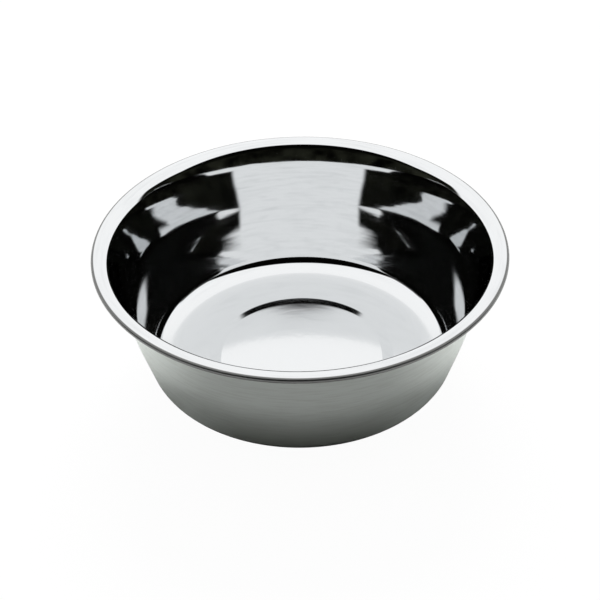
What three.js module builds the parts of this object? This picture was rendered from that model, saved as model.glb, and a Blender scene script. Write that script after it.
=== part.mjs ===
// A pet bowl drawn from one disc of sheet steel: a dished pad in the middle of the floor, a flat ring
// round it to stand on, a round corner, a leaning wall that flares at the mouth, a round lip and a rolled edge.
// Millimetres, +Z up. The origin is on the axis, in the plane that the bowl stands on.
import * as THREE from "three";

const sheet = 0.6; // thickness of the steel, the same all over

// Floor, from the axis outwards
const padRadius = 42; // out to where the pad's step begins
const padDish = 0.5; // the middle of the pad lies this far below its edge
const stepDrop = 1.2; // from the pad's edge down to the ring
const stepSlope = 12.5; // degrees
const stepBend = 6; // radius of the step's two bends
const ringWidth = 13.6; // flat part, from the step to the toe

// Wall, where a lean is an angle from upright in degrees
const toeRadius = 29; // wide bend from the ring towards the corner, inside the bowl
const toeLean = 65; // where the toe hands over to the corner
const cornerRadius = 8.5;
const lowerLean = 17.5; // of the straight lower wall
const lowerLength = 17.3; // of that straight part, along the sheet
const bellyRadius = 145; // soft bend between the straight part and the waist
const waistLean = 12.0; // where the wall stands steepest
const wallLean = 14.7; // at the top of the upper wall's long, faint flare
const throatRadius = 86; // stronger flare between the wall and the lip
const throatLean = 22.2; // where the flare hands over to the lip

// Lip
const height = 71.1; // overall
const lipRadius = 5.3; // over the bend from the wall into the land
const landWidth = 2; // between that bend and the rolled edge
const landDrop = 8; // slope of the land, down and outwards, in degrees
const curlRadius = 1.4; // outside of the rolled edge
const curlTurn = 265; // degrees that the edge is rolled through

// Facets
const roundSegments = 64; // round the axis
const chordError = 0.04; // how far a facet may stray from a bend of the section

const halfSheet = sheet / 2;
const waistHeading = headingOf(waistLean);
const wallHeading = headingOf(wallLean);
const throatHeading = headingOf(throatLean);
const landHeading = -THREE.MathUtils.degToRad(landDrop);

// A heading is the direction along the sheet: 0 points outwards and a quarter turn points up.
function headingOf(lean) {
  return THREE.MathUtils.degToRad(90 - lean);
}

// Height gained by a bend that turns clockwise, as all do from the waist up.
function riseOf(radius, from, to) {
  return radius * (Math.cos(to) - Math.cos(from));
}

// The middle of the sheet, as a list of stations { r, z, heading } that starts on the axis.
class SheetPath {
  constructor(startHeight) {
    this.stations = [{ r: 0, z: startHeight, heading: 0 }];
  }

  get end() {
    return this.stations.at(-1);
  }

  straight(length) {
    const { r, z, heading } = this.end;
    this.stations.push({
      r: r + length * Math.cos(heading),
      z: z + length * Math.sin(heading),
      heading,
    });
  }

  bend(radius, toHeading) {
    const { r, z, heading: from } = this.end;
    const turn = toHeading - from;
    const signedRadius = Math.sign(turn) * radius;
    const widestStep = 2 * Math.acos(1 - chordError / radius);
    const steps = Math.ceil(Math.abs(turn) / widestStep);
    for (let i = 1; i <= steps; i++) {
      const heading = from + (turn * i) / steps;
      this.stations.push({
        r: r + signedRadius * (Math.sin(heading) - Math.sin(from)),
        z: z - signedRadius * (Math.cos(heading) - Math.cos(from)),
        heading,
      });
    }
  }
}

// Pad, step and ring: the step's straight slope is as long as stepDrop leaves for it.
function floor(path) {
  const dishRadius = (padRadius ** 2 + padDish ** 2) / (2 * padDish);
  const edgeHeading = Math.asin(padRadius / dishRadius);
  const slope = THREE.MathUtils.degToRad(stepSlope);
  const bendsDrop = stepBend * (Math.cos(edgeHeading) + 1 - 2 * Math.cos(slope));
  path.bend(dishRadius, edgeHeading);
  path.bend(stepBend, -slope);
  path.straight((stepDrop - bendsDrop) / Math.sin(slope));
  path.bend(stepBend, 0);
  path.straight(ringWidth);
}

// From the toe to the lip: the upper wall takes the height that is left, so its flare follows from its two leans.
function wall(path) {
  const throatMiddle = throatRadius - halfSheet;
  const lipMiddle = lipRadius - halfSheet;
  const wallTop =
    height -
    halfSheet -
    riseOf(lipMiddle, throatHeading, 0) -
    riseOf(throatMiddle, wallHeading, throatHeading);
  path.bend(toeRadius + halfSheet, headingOf(toeLean));
  path.bend(cornerRadius + halfSheet, headingOf(lowerLean));
  path.straight(lowerLength);
  path.bend(bellyRadius + halfSheet, waistHeading);
  const wallRadius = (wallTop - path.end.z) / riseOf(1, waistHeading, wallHeading);
  path.bend(wallRadius, wallHeading);
  path.bend(throatMiddle, throatHeading);
  path.bend(lipMiddle, landHeading);
}

// The edge is rolled out, down and back under the land.
function lip(path) {
  path.straight(landWidth);
  path.bend(curlRadius - halfSheet, landHeading - THREE.MathUtils.degToRad(curlTurn));
}

// One face of the sheet: side 1 is the face inside the bowl, side -1 the face below.
function faceOf(path, side) {
  return path.stations.map(
    ({ r, z, heading }) =>
      new THREE.Vector2(
        r - side * halfSheet * Math.sin(heading),
        z + side * halfSheet * Math.cos(heading),
      ),
  );
}

function makeBowl() {
  const path = new SheetPath(halfSheet + stepDrop - padDish);
  floor(path);
  wall(path);
  lip(path);
  const section = [...faceOf(path, -1), ...faceOf(path, 1).reverse()];
  const geometry = new THREE.LatheGeometry(section, roundSegments);
  geometry.rotateX(Math.PI / 2); // a lathe turns about Y
  const steel = new THREE.MeshStandardMaterial({
    color: 0xc9cbca,
    metalness: 1,
    roughness: 0.15,
  });
  const bowl = new THREE.Mesh(geometry, steel);
  bowl.name = "bowl";
  return bowl;
}

const petBowl = new THREE.Group();
petBowl.add(makeBowl());

export default petBowl;
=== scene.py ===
# A pet bowl drawn from one disc of sheet steel: mirror-polished inside and over the rim, satin outside.
# It stands on a pale floor, in a white room that is dark behind the camera.
import math

import bmesh
import bpy
from mathutils import Matrix, Vector


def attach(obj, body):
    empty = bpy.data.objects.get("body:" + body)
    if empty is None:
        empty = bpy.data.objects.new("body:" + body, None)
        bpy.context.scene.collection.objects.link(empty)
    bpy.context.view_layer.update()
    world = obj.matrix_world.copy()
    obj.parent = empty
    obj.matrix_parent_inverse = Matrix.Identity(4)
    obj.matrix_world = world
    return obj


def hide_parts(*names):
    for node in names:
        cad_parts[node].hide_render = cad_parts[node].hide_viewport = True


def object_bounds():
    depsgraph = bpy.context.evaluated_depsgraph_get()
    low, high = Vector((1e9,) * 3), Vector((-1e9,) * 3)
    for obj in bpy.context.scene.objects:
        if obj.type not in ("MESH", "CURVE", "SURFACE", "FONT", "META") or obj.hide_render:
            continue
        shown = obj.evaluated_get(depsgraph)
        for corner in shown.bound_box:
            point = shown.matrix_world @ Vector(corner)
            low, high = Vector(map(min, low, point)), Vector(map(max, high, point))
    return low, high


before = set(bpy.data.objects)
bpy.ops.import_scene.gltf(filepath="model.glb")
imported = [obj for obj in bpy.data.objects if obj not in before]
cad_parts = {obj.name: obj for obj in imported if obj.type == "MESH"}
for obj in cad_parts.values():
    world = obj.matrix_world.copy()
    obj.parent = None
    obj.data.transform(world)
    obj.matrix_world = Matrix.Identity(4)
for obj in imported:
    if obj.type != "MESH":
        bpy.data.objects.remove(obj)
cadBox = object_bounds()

mm = 0.001


def addObject(name, data):
    made = bpy.data.objects.new(name, data)
    bpy.context.scene.collection.objects.link(made)
    return made


def addMesh(name, mesh):
    data = bpy.data.meshes.new(name)
    mesh.to_mesh(data)
    mesh.free()
    return addObject(name, data)


# Camera
cameraValues = {
    "distance": 840,  # from the aim, mm
    "elevation": 37.15,  # degrees above the floor
    "aimHeight": 39.54,  # height of the aim on the bowl's axis, mm
    "aimPixel": (300.6, 295.1),  # where the aim shows in the frame
    "frameWidth": 600,  # pixels, the frame is square
    "focalPixels": 1634,  # focal length over the size of a pixel
    "roll": -0.94,  # degrees, the right side shows higher
    "sensor": 36,  # mm
    "clip": (0.01, 100),  # nearest and farthest that it sees, m
}


def makeCamera(values):
    data = bpy.data.cameras.new("camera")
    data.sensor_width = values["sensor"]
    data.lens = values["sensor"] * values["focalPixels"] / values["frameWidth"]
    data.clip_start, data.clip_end = values["clip"]
    camera = addObject("camera", data)
    bpy.context.scene.camera = camera
    elevation = math.radians(values["elevation"])
    back = Vector((0, -math.cos(elevation), math.sin(elevation)))
    aim = Vector((0, 0, values["aimHeight"] * mm))
    right = values["aimPixel"][0] - values["frameWidth"] / 2
    below = values["aimPixel"][1] - values["frameWidth"] / 2
    turn = (-back).to_track_quat("-Z", "Y").to_matrix().to_4x4()
    turn @= Matrix.Rotation(math.radians(values["roll"]), 4, "Z")
    turn @= Matrix.Rotation(math.atan(below / values["focalPixels"]), 4, "X")
    turn @= Matrix.Rotation(math.atan(right / values["focalPixels"]), 4, "Y")
    camera.matrix_world = Matrix.Translation(aim + back * values["distance"] * mm) @ turn


makeCamera(cameraValues)
print("camera made")


# Nodes
class Value:  # a socket that adds Math nodes when it stands in an expression
    def __init__(self, maker, socket):
        self.maker = maker
        self.socket = socket

    def math(self, operation, *values):
        return self.maker.node("ShaderNodeMath", {"operation": operation}, dict(enumerate(values)))

    def __add__(self, other):
        return self.math("ADD", self, other)

    __radd__ = __add__

    def __sub__(self, other):
        return self.math("SUBTRACT", self, other)

    def __rsub__(self, other):
        return self.math("SUBTRACT", other, self)

    def __mul__(self, other):
        return self.math("MULTIPLY", self, other)

    __rmul__ = __mul__

    def __truediv__(self, other):
        return self.math("DIVIDE", self, other)

    def __rtruediv__(self, other):
        return self.math("DIVIDE", other, self)

    def __pow__(self, other):
        return self.math("POWER", self, other)

    def __neg__(self):
        return self * -1

    def __abs__(self):
        return self.math("ABSOLUTE", self)

    def atLeast(self, low):
        return self.math("MAXIMUM", self, low)

    def rises(self, low, high):  # 0 up to low, 1 from high on, soft between them
        return self.maker.node(
            "ShaderNodeMapRange",
            {"interpolation_type": "SMOOTHSTEP"},
            {"Value": self, "From Min": low, "From Max": high},
        )


class NodeMaker:
    def __init__(self, tree):
        self.tree = tree
        tree.nodes.clear()

    def node(self, kind, settings=None, values=None, output=0):
        made = self.tree.nodes.new(kind)
        for name, setting in (settings or {}).items():
            setattr(made, name, setting)
        for name, value in (values or {}).items():
            if isinstance(value, Value):
                self.tree.links.new(value.socket, made.inputs[name])
            else:
                made.inputs[name].default_value = value
        return Value(self, made.outputs[output]) if made.outputs else None

    def split(self, vector):
        return [self.node("ShaderNodeSeparateXYZ", None, {0: vector}, axis) for axis in range(3)]

    def join(self, x, y, z):
        return self.node("ShaderNodeCombineXYZ", None, {0: x, 1: y, 2: z})

    def mixColours(self, share, first, second):  # Mix has its colours on inputs 6 and 7 and on output 2
        return self.node("ShaderNodeMix", {"data_type": "RGBA"}, {0: share, 6: first, 7: second}, 2)

    def show(self, shader, kind="ShaderNodeOutputMaterial"):
        self.node(kind, None, {"Surface": shader})


def newMaterial(name):
    material = bpy.data.materials.new(name)
    material.use_nodes = True
    return material, NodeMaker(material.node_tree)


def grey(level):
    return (level, level, level, 1)


# The bowl, in millimetres and degrees. A lean is measured from upright.
bowlValues = {
    "sheet": 0.6,
    "padRadius": 42,  # out to where the pad's step begins
    "padDish": 0.5,  # the middle of the pad lies this far below its edge
    "stepDrop": 1.2,  # from the pad's edge down to the ring
    "stepSlope": 12.5,
    "stepBend": 6,  # radius of the step's two bends
    "ringWidth": 13.6,  # flat part, from the step to the toe
    "toeRadius": 29,  # wide bend from the ring towards the corner
    "toeLean": 65,  # where the toe hands over to the corner
    "cornerRadius": 8.5,
    "lowerLean": 17.5,  # of the straight lower wall
    "lowerLength": 17.3,  # of that straight part, along the sheet
    "bellyRadius": 145,  # soft bend between the straight part and the waist
    "waistLean": 12,  # where the wall stands steepest
    "wallLean": 14.7,  # at the top of the upper wall's long, faint flare
    "throatRadius": 86,  # stronger flare between the wall and the lip
    "throatLean": 22.2,  # where the flare hands over to the lip
    "lipRadius": 5.3,  # over the bend from the wall into the land
    "landWidth": 2,  # between that bend and the rolled edge
    "landDrop": 8,  # slope of the land, down and outwards
    "curlTurn": 265,  # that the edge is rolled through
    "weld": 0.01,  # vertices nearer than this become one
    "roundSteps": 208,  # faces round the axis
    "bendSteps": {  # turn from one face to the next, along each bend of the section
        "pad": 0.2,
        "step": 1,
        "toe": 1,
        "corner": 1.5,
        "belly": 0.6,
        "wall": 0.1,
        "throat": 0.6,
        "lip": 2.5,
        "curl": 7,
    },
    "straightSteps": {"step": 2, "ring": 6, "lower": 4, "land": 2},  # faces along each straight part
}


class SheetPen:  # draws the inside face of the steel with one moving vertex, from the axis outwards
    def __init__(self, mesh, height, values):
        self.mesh = mesh
        self.bendSteps = values["bendSteps"]
        self.straightSteps = values["straightSteps"]
        self.tip = mesh.verts.new((0, 0, height))
        self.heading = 0  # degrees, 0 outwards and 90 up

    def direction(self, quarterTurns=0):
        angle = math.radians(self.heading + 90 * quarterTurns)
        return Vector((math.cos(angle), 0, math.sin(angle)))

    def straight(self, part, length):
        steps = self.straightSteps[part]
        for _ in range(steps):
            made = bmesh.ops.extrude_vert_indiv(self.mesh, verts=[self.tip])
            self.tip = made["verts"][0]
            self.tip.co += self.direction() * length / steps

    def bend(self, part, radius, toHeading):
        turn = toHeading - self.heading
        centre = self.tip.co + self.direction(1) * math.copysign(radius, turn)
        made = bmesh.ops.spin(
            self.mesh,
            geom=[self.tip],
            cent=centre,
            axis=(0, -1, 0),
            angle=math.radians(turn),
            steps=math.ceil(abs(turn) / self.bendSteps[part]),
        )
        self.tip = made["geom_last"][0]
        self.heading = toHeading


# Height gained by a bend whose heading falls, as in every bend from the waist up
def riseOf(radius, heading, toHeading):
    return radius * (math.cos(math.radians(toHeading)) - math.cos(math.radians(heading)))


def drawFloor(pen, values):
    dishRadius = (values["padRadius"] ** 2 + values["padDish"] ** 2) / (2 * values["padDish"])
    edge = math.asin(values["padRadius"] / dishRadius)
    slope = math.radians(values["stepSlope"])
    bendsDrop = values["stepBend"] * (math.cos(edge) + 1 - 2 * math.cos(slope))
    half = values["sheet"] / 2  # the floor's radii are those of the middle of the sheet
    pen.bend("pad", (dishRadius - half) * mm, math.degrees(edge))
    pen.bend("step", (values["stepBend"] + half) * mm, -values["stepSlope"])
    pen.straight("step", (values["stepDrop"] - bendsDrop) * mm / math.sin(slope))
    pen.bend("step", (values["stepBend"] - half) * mm, 0)
    pen.straight("ring", values["ringWidth"] * mm)


def drawWall(pen, values, top):
    waist = 90 - values["waistLean"]
    wall = 90 - values["wallLean"]
    throat = 90 - values["throatLean"]
    lipRise = riseOf(values["lipRadius"] * mm, throat, 0)
    throatRise = riseOf(values["throatRadius"] * mm, wall, throat)
    pen.bend("toe", values["toeRadius"] * mm, 90 - values["toeLean"])
    pen.bend("corner", values["cornerRadius"] * mm, 90 - values["lowerLean"])
    pen.straight("lower", values["lowerLength"] * mm)
    pen.bend("belly", values["bellyRadius"] * mm, waist)
    wallRise = top - lipRise - throatRise - pen.tip.co.z  # the height that is left for the upper wall
    pen.bend("wall", wallRise / riseOf(1, waist, wall), wall)
    pen.bend("throat", values["throatRadius"] * mm, throat)
    pen.bend("lip", values["lipRadius"] * mm, -values["landDrop"])


def drawEdge(pen, values, outside):  # the curl reaches out as far as the CAD bowl
    pen.straight("land", values["landWidth"] * mm)
    curlRadius = (outside - pen.tip.co.x) / (1 - math.sin(math.radians(values["landDrop"])))
    pen.bend("curl", curlRadius, -values["landDrop"] - values["curlTurn"])


def turnRound(mesh, values):
    bmesh.ops.spin(
        mesh,
        geom=mesh.verts[:] + mesh.edges[:],
        cent=(0, 0, 0),
        axis=(0, 0, 1),
        angle=math.tau,
        steps=values["roundSteps"],
        use_merge=True,
    )
    bmesh.ops.remove_doubles(mesh, verts=mesh.verts[:], dist=values["weld"] * mm)
    bmesh.ops.recalc_face_normals(mesh, faces=mesh.faces[:])
    middle = min(mesh.faces, key=lambda face: face.calc_center_median().xy.length)
    if middle.normal.z < 0:
        bmesh.ops.reverse_faces(mesh, faces=mesh.faces[:])


def thicken(mesh, sheet):  # material 0 is for the inside, 1 for the outside and 2 for the cut edge
    inside = set(mesh.faces)
    shell = bmesh.ops.solidify(mesh, geom=mesh.faces[:], thickness=sheet)
    outside = {item for item in shell["geom"] if isinstance(item, bmesh.types.BMFace)}
    for face in mesh.faces:
        face.smooth = True
        face.material_index = 0 if face in inside else 1 if face in outside else 2
    for edge in mesh.edges:
        edge.smooth = len({face.material_index for face in edge.link_faces}) == 1


def makeBowl(values):
    sheet = values["sheet"] * mm
    mesh = bmesh.new()
    pen = SheetPen(mesh, sheet + (values["stepDrop"] - values["padDish"]) * mm, values)
    drawFloor(pen, values)
    drawWall(pen, values, cadBox[1].z)
    drawEdge(pen, values, cadBox[1].x)
    turnRound(mesh, values)
    thicken(mesh, sheet)
    return addMesh("steel_bowl", mesh)


bowl = makeBowl(bowlValues)
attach(bowl, "root")
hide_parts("bowl")
print("bowl made:", len(bowl.data.polygons), "faces")


# Steel, with widths and heights in millimetres and lengths round the axis in radians
polishValues = {
    "colour": (0.765, 0.777, 0.785, 1),
    "smear": (0.705, 0.718, 0.727, 1),  # on the wall's dullest streaks
    "smearShare": (0.42, 0.8),  # of a streak's dullness, where the smear starts and where it is full
    "roughness": (0.02, 0.06),  # on the smoothest and the dullest streaks
    "floorRoughness": 0.05,  # added on the floor
    "floorTop": (2, 5),  # where the floor's finish fades into the wall's
    "ridge": 3.5,  # width of the soft ridges that run round the wall
    "ridgeLength": 0.25,
    "ridgeHeight": 0.014,
    "line": 0.7,  # width of the fine polishing lines
    "lineLength": 0.12,
    "lineHeight": 0.001,
    "streak": 2.1,  # width of the dull streaks
    "streakLength": 0.24,
    "edge": (103.25, 103.7),  # radius where the lip's polish ends and a painted shade darkens the outer curl
    # painted shade on the outer curl, standing in for its shaded underside
    "paintedRimShadeColour": (0.17, 0.172, 0.168, 1),
    "edgeRoughness": 0.28,  # added past that edge
}
satinValues = {
    "colour": (0.645, 0.68, 0.65, 1),
    "stain": (0.575, 0.6, 0.57, 1),  # on the dullest streaks
    "stainShare": (0.35, 0.75),  # of a streak's dullness, where the stain starts and where it is full
    # painted shade: a darker front foot, standing in for the shadowed floor that the wall reflects
    "paintedShadeColour": (0.22, 0.235, 0.205, 1),
    "paintedShadeTop": (-8, 44),  # height over which the painted shade on the front foot fades out
    "paintedShadeFront": (-1, -0.7),  # and how far round that painted shade reaches, as Y over the radius
    "roughness": (0.28, 0.36),
    "tint": (0.8, 0.81, 0.8, 1),  # of the sheen where the wall is seen from the side
    "line": 0.4,
    "lineLength": 0.15,
    "lineHeight": 0.0008,
    "streak": 1.2,
    "streakLength": 0.15,
}
cutValues = {
    "colour": (0.55, 0.55, 0.54, 1),
    "roughness": (0.35, 0.5),
    "grain": 0.3,
    "grainLength": 0.05,
}


class RoundPattern:  # patterns that run round the bowl's axis without a seam
    def __init__(self, maker):
        self.maker = maker
        place = maker.node("ShaderNodeTexCoord", output="Object")
        x, y, self.height = maker.split(place)
        self.radius = (x * x + y * y) ** 0.5
        self.cosine = x / self.radius
        self.sine = y / self.radius

    def streaks(self, width, length, detail, seed=0):
        vector = self.maker.join(
            self.cosine / length + seed, self.sine / length, self.radius / (width * mm)
        )
        values = {"Vector": vector, "W": self.height / (width * mm), "Scale": 1, "Detail": detail}
        return self.maker.node("ShaderNodeTexNoise", {"noise_dimensions": "4D"}, values)


def bump(maker, height, distance, normal=None):
    values = {"Height": height, "Distance": distance * mm}
    if normal:
        values["Normal"] = normal
    return maker.node("ShaderNodeBump", None, values)


def showSteel(maker, values):
    maker.show(maker.node("ShaderNodeBsdfPrincipled", None, {"Metallic": 1, **values}))


def polishedSteel(values):
    material, maker = newMaterial("polished steel")
    pattern = RoundPattern(maker)
    streak = pattern.streaks(values["streak"], values["streakLength"], detail=3, seed=7)
    ridges = pattern.streaks(values["ridge"], values["ridgeLength"], detail=1)
    lines = pattern.streaks(values["line"], values["lineLength"], detail=2, seed=3)
    floor = 1 - pattern.height.rises(values["floorTop"][0] * mm, values["floorTop"][1] * mm)
    # painted shade: past this radius the base colour turns dark; the added roughness is a duller finish
    edge = pattern.radius.rises(values["edge"][0] * mm, values["edge"][1] * mm)
    smear = streak.rises(*values["smearShare"]) * (1 - floor)
    colour = maker.mixColours(smear, values["colour"], values["smear"])
    smooth, dull = values["roughness"]
    rough = smooth + (dull - smooth) * streak + floor * values["floorRoughness"]
    ridged = bump(maker, ridges, values["ridgeHeight"])
    steel = {
        "Base Color": maker.mixColours(edge, colour, values["paintedRimShadeColour"]),
        "Roughness": rough + edge * values["edgeRoughness"],
        "Normal": bump(maker, lines, values["lineHeight"], ridged),
    }
    showSteel(maker, steel)
    return material


def satinSteel(values):
    material, maker = newMaterial("satin steel")
    pattern = RoundPattern(maker)
    streak = pattern.streaks(values["streak"], values["streakLength"], detail=4, seed=5)
    lines = pattern.streaks(values["line"], values["lineLength"], detail=2)
    # painted shade: the base colour darkens low on the wall and towards the front (-Y)
    low = 1 - pattern.height.rises(values["paintedShadeTop"][0] * mm, values["paintedShadeTop"][1] * mm)
    front = 1 - pattern.sine.rises(*values["paintedShadeFront"])
    stain = streak.rises(*values["stainShare"])
    colour = maker.mixColours(stain, values["colour"], values["stain"])
    smooth, dull = values["roughness"]
    steel = {
        "Base Color": maker.mixColours(low * front, colour, values["paintedShadeColour"]),
        "Specular Tint": values["tint"],
        "Roughness": smooth + (dull - smooth) * streak,
        "Normal": bump(maker, lines, values["lineHeight"]),
    }
    showSteel(maker, steel)
    return material


def cutSteel(values):
    material, maker = newMaterial("cut edge")
    grain = RoundPattern(maker).streaks(values["grain"], values["grainLength"], detail=3)
    smooth, dull = values["roughness"]
    steel = {"Base Color": values["colour"], "Roughness": smooth + (dull - smooth) * grain}
    showSteel(maker, steel)
    return material


bowl.data.materials.append(polishedSteel(polishValues))
bowl.data.materials.append(satinSteel(satinValues))
bowl.data.materials.append(cutSteel(cutValues))
print("steel made")


# Studio. It is a white room with a wide, dark front wall, and with dark lower side walls.
studioValues = {
    "floorSize": 8,  # m
    "floorDrop": 0.05,  # mm under the bowl
    "floorColour": 0.8,
    "floorGlow": 0.965,  # share of plain white that the camera sees in the floor
    "room": 1.15,  # brightness of the white parts
    "frontTall": 2.25,  # height of the dark front wall over its distance
    "frontWide": 5.3,  # half its width over its distance
    "frontSoft": (0.25, 0.12),  # blur of its top and of its sides, over its distance
    "sideTurn": 76,  # the dark side walls start this many degrees round from the back
    "sideTop": 30,  # degrees above the horizon
    "sideSoft": (3, 1.5),  # blur of their back edges and of their tops, degrees
    "darkColour": (0.001, 0.001, 0.0008, 1),
    "dimColour": (0.05, 0.053, 0.037, 1),  # of paler clouds on the dark walls
    "dimTop": 42,  # degrees above the horizon where the clouds have faded out
    "cloudScale": 5,
    "cloudDetail": 4,
    "cloudShare": (0.3, 0.7),  # of the noise, where a cloud starts and where it is full
    "lampSize": 1,  # m
    "lampPlace": (0.02, 1.3, 0.95),  # behind the bowl and over it, m
    "lampPower": 45,  # W
}


def makeFloor(values):
    mesh = bmesh.new()
    bmesh.ops.create_grid(mesh, x_segments=1, y_segments=1, size=values["floorSize"] / 2)
    bmesh.ops.translate(mesh, verts=mesh.verts[:], vec=(0, 0, -values["floorDrop"] * mm))
    floor = addMesh("floor", mesh)
    material, maker = newMaterial("pale floor")
    seen = maker.node("ShaderNodeLightPath", output="Is Camera Ray")
    matt = maker.node("ShaderNodeBsdfDiffuse", None, {"Color": grey(values["floorColour"])})
    white = maker.node("ShaderNodeEmission", None, {"Color": grey(1)})
    share = seen * values["floorGlow"]
    maker.show(maker.node("ShaderNodeMixShader", None, {0: share, 1: matt, 2: white}))
    floor.data.materials.append(material)


# 1 under the given limit, 0 over it, soft by so much to both sides
def under(value, limit, soft):
    return 1 - value.rises(limit - soft, limit + soft)


def sineOf(degrees):
    return math.sin(math.radians(degrees))


def darkWalls(values, x, y, z):
    nearZero = 0.001  # so that nothing behind the bowl is divided by 0
    forward = (-y).atLeast(nearZero)
    topSoft, edgeSoft = values["frontSoft"]
    front = under(z / forward, values["frontTall"], topSoft)
    front *= under(abs(x) / forward, values["frontWide"], edgeSoft)
    turnSoft, sideSoft = values["sideSoft"]
    turn = y / (x * x + y * y) ** 0.5
    side = under(turn, sineOf(90 - values["sideTurn"]), sineOf(turnSoft))
    side *= under(z, sineOf(values["sideTop"]), sineOf(sideSoft))
    return 1 - (1 - front) * (1 - side)


def makeRoom(values):
    world = bpy.data.worlds.new("room")
    world.use_nodes = True
    bpy.context.scene.world = world
    maker = NodeMaker(world.node_tree)
    direction = maker.node("ShaderNodeTexCoord", output="Generated")
    x, y, z = maker.split(direction)
    noise = {"Vector": direction, "Scale": values["cloudScale"], "Detail": values["cloudDetail"]}
    clouds = maker.node("ShaderNodeTexNoise", None, noise).rises(*values["cloudShare"])
    dim = under(z, 0, sineOf(values["dimTop"])) * clouds
    dark = maker.mixColours(dim, values["darkColour"], values["dimColour"])
    lit = maker.mixColours(darkWalls(values, x, y, z), grey(values["room"]), dark)
    seen = maker.mixColours(maker.node("ShaderNodeLightPath", output="Is Camera Ray"), lit, grey(1))
    maker.show(maker.node("ShaderNodeBackground", None, {"Color": seen}), "ShaderNodeOutputWorld")


def makeLamp(values):
    data = bpy.data.lights.new("lamp", "AREA")
    data.shape = "DISK"
    data.size = values["lampSize"]
    data.energy = values["lampPower"]
    lamp = addObject("lamp", data)
    place = Vector(values["lampPlace"])
    turn = (-place).to_track_quat("-Z", "Y").to_matrix().to_4x4()
    lamp.matrix_world = Matrix.Translation(place) @ turn
    lamp.visible_glossy = False
    lamp.visible_camera = False


makeFloor(studioValues)
makeRoom(studioValues)
makeLamp(studioValues)
bpy.context.scene.view_settings.view_transform = "Standard"
print("studio made")
